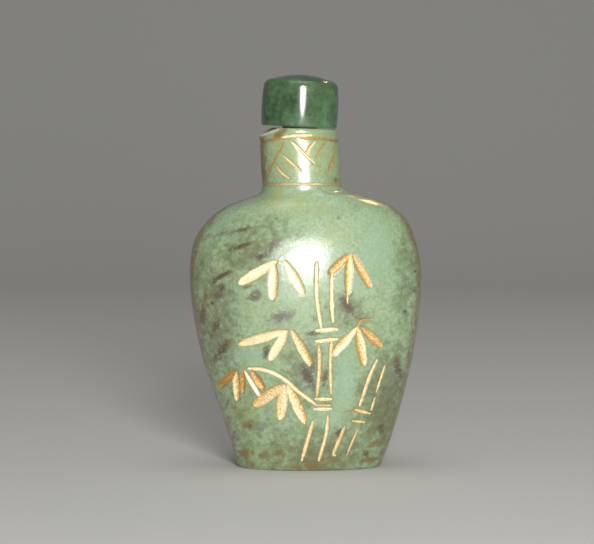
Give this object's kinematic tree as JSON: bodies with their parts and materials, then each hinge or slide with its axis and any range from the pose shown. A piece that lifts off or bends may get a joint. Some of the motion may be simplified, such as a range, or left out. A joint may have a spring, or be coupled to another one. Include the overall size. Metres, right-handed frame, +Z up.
{
  "type": "snuff bottle",
  "caption": "Flattened, high-shouldered stone snuff bottle with a straight round neck, incised bamboo on its face, lattice cuts round the neck and a domed stone stopper on a cork.",
  "frame": {"origin": "on the table, under the middle of the bottle's width and depth", "axes": "+Z up the bottle, +X to the right of the carved face, -Y out of the carved face"},
  "size_m": [0.0441, 0.0268, 0.0747],
  "materials": {
    "bottle": "polished, with gilding in the cuts",
    "stopper": "high polish",
    "stopper_cork": "raw cork"
  },
  "bodies": {
    "root": {"bottle": "bottle", "stopper": "stopper", "stopper_cork": "stopper_cork"}
  },
  "joints": []
}
